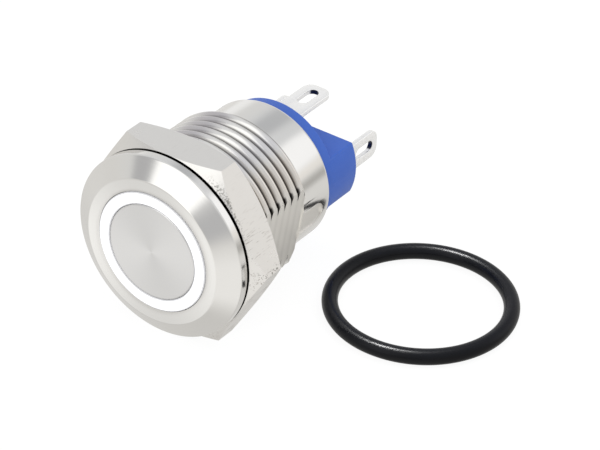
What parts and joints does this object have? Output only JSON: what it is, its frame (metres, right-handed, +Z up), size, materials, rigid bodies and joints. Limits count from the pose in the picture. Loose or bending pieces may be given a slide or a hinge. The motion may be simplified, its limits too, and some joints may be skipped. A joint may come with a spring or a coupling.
{
  "type": "anti vandal push button",
  "caption": "Round metal push button with a flat pressed cap in a lit ring, a threaded barrel with a hex nut for a panel hole, solder terminals behind and its panel seal lying beside it.",
  "frame": {"origin": "on the barrel's axis, in the flange's seat face that meets the panel", "axes": "+Y along the barrel from the pressed face to the terminals, +Z up with a flat of the nut down, +X to the side where the panel seal lies"},
  "size_m": [0.0361, 0.0273, 0.018],
  "materials": {
    "plated_shell": "polished",
    "plated_nut": "satin",
    "brushed_cap": "satin",
    "lit_white": "satin",
    "black_rubber": "satin",
    "seal_rubber": "matte",
    "ivory_plastic": "matte",
    "contact_brass": "satin",
    "contact_silver": "polished",
    "spring_steel": "polished",
    "board_green": "satin",
    "lamp_white": "gloss",
    "chip_black": "satin",
    "tinned_terminal": "polished",
    "resin_black": "gloss",
    "blue_plastic": "satin"
  },
  "bodies": {
    "housing": {"shell": "plated_shell", "panel_seal": "black_rubber", "return_spring": "spring_steel", "led_board": "board_green", "leds": "lamp_white", "led_resistors": "chip_black", "led_lead_top": "tinned_terminal", "led_lead_bottom": "tinned_terminal", "contact_cage": "ivory_plastic", "fixed_contacts": "contact_silver", "switch_terminal_left": "tinned_terminal", "switch_terminal_right": "tinned_terminal", "led_terminal_top": "tinned_terminal", "led_terminal_bottom": "tinned_terminal", "sealing_resin": "resin_black", "rear_base": "blue_plastic"},
    "button": {"button_cap": "brushed_cap", "light_ring": "lit_white", "plunger_seal": "seal_rubber", "pusher": "ivory_plastic", "contact_bridge": "contact_brass", "bridge_contacts": "contact_silver", "contact_spring": "spring_steel"},
    "nut": {"hex_nut": "plated_nut"}
  },
  "joints": [
    {"name": "button_press", "type": "slide", "parent": "housing", "child": "button", "axis": [0, 1, 0], "range_m": [0, 0.0012], "stiffness_N_per_m": 1500, "springref_m": -0.0013, "deforming": ["return_spring"]},
    {"name": "nut_travel", "type": "slide", "parent": "housing", "child": "nut", "axis": [0, 1, 0], "range_m": [-0.00025, 0.0071]}
  ]
}
